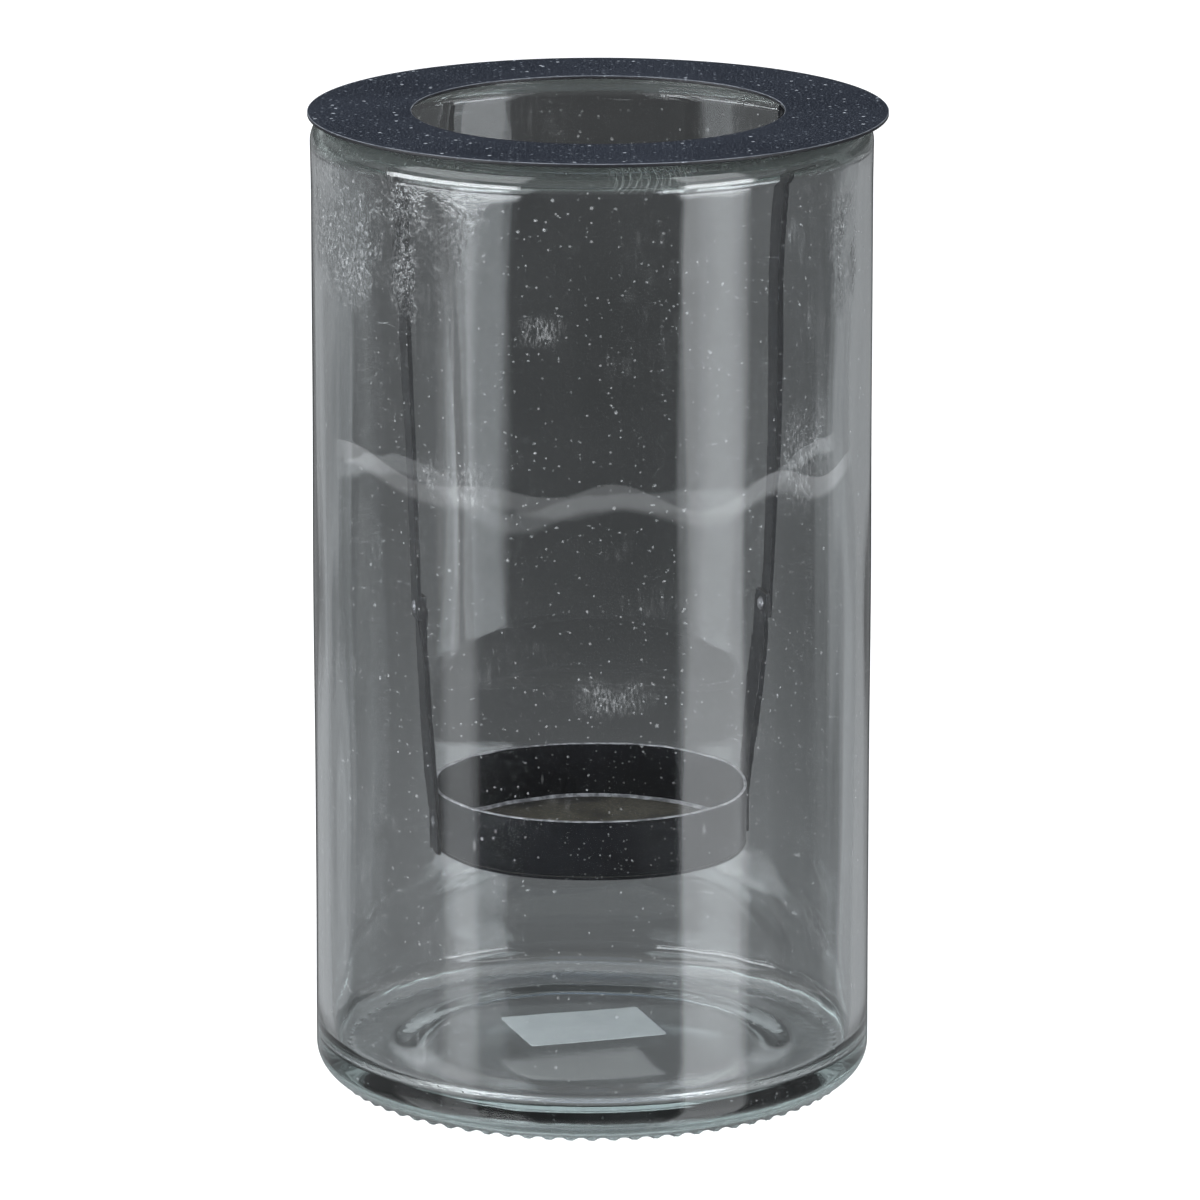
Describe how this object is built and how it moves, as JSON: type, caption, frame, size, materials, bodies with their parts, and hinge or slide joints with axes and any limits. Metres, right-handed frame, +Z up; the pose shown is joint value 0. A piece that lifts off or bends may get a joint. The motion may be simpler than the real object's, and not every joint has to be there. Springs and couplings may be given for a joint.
{
  "type": "hurricane candle lantern",
  "caption": "Straight glass cylinder with a flat steel ring on its rim and a shallow black candle cup hung inside on riveted straps.",
  "frame": {"origin": "centre of the glass cylinder's underside, on the plane that its bearing ring stands on", "axes": "+Z up along the cylinder's axis; +X to the right as seen from the front, which looks along +Y; the hangers stand in the plane turned 16.5 degrees about +Z from +X"},
  "size_m": [0.1236, 0.1236, 0.212],
  "materials": {
    "clear_glass": "clear pressed glass, faint green where it is thick",
    "ring_coat": "satin charcoal powder coat with fine light specks",
    "black_coat": "satin black paint, dusty",
    "weld_steel": "painted over, worn bright on the crowns",
    "label_paper": "plain matt paper"
  },
  "bodies": {
    "glass": {"glass_cylinder": "clear_glass", "base_label": "label_paper"},
    "holder": {"ring_plate": "ring_coat", "foot_welds": "weld_steel", "left_upper_strap": "black_coat", "right_upper_strap": "black_coat", "left_lower_strap": "black_coat", "right_lower_strap": "black_coat", "lap_rivets": "weld_steel", "cup_welds": "weld_steel", "cup_wall": "black_coat", "cup_base": "black_coat"}
  },
  "joints": [
    {"name": "holder_lift", "type": "slide", "parent": "glass", "child": "holder", "axis": [0, 0, 1], "range_m": [0, 0.18]}
  ]
}
